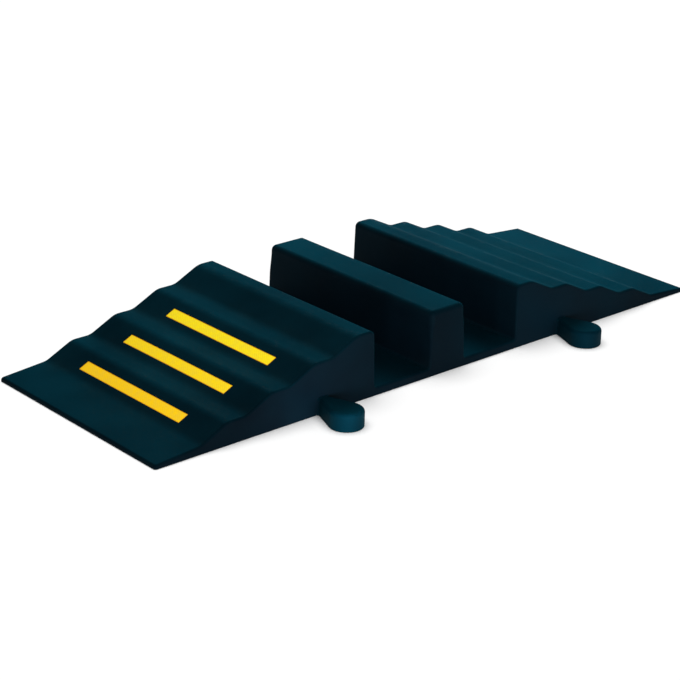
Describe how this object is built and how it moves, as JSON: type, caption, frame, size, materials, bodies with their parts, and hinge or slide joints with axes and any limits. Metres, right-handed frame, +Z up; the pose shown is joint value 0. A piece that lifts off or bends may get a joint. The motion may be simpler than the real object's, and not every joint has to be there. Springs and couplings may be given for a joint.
{
  "type": "rubber hose bridge",
  "caption": "Moulded black rubber hose bridge: terraced ramps, open hose channels, central rib, yellow reflective strips, round link lugs and pockets",
  "frame": {"origin": "middle of the flat underside, on the floor, under the middle of the central rib", "axes": "+Z up; X along the bridge from toe to toe, the way wheels roll over it; Y along the hose channels; the link lugs are on the -Y side and their pockets on the +Y side"},
  "size_m": [0.85, 0.36, 0.08],
  "materials": {
    "black_rubber": "moulded black rubber with a cool blue-green cast, smooth, soft sheen",
    "yellow_reflective": "yellow retroreflective plastic strip"
  },
  "bodies": {
    "root": {"bridge_body": "black_rubber", "reflector_strip_left_1": "yellow_reflective", "reflector_strip_left_2": "yellow_reflective", "reflector_strip_left_3": "yellow_reflective", "reflector_strip_right_1": "yellow_reflective", "reflector_strip_right_2": "yellow_reflective", "reflector_strip_right_3": "yellow_reflective"}
  },
  "joints": []
}
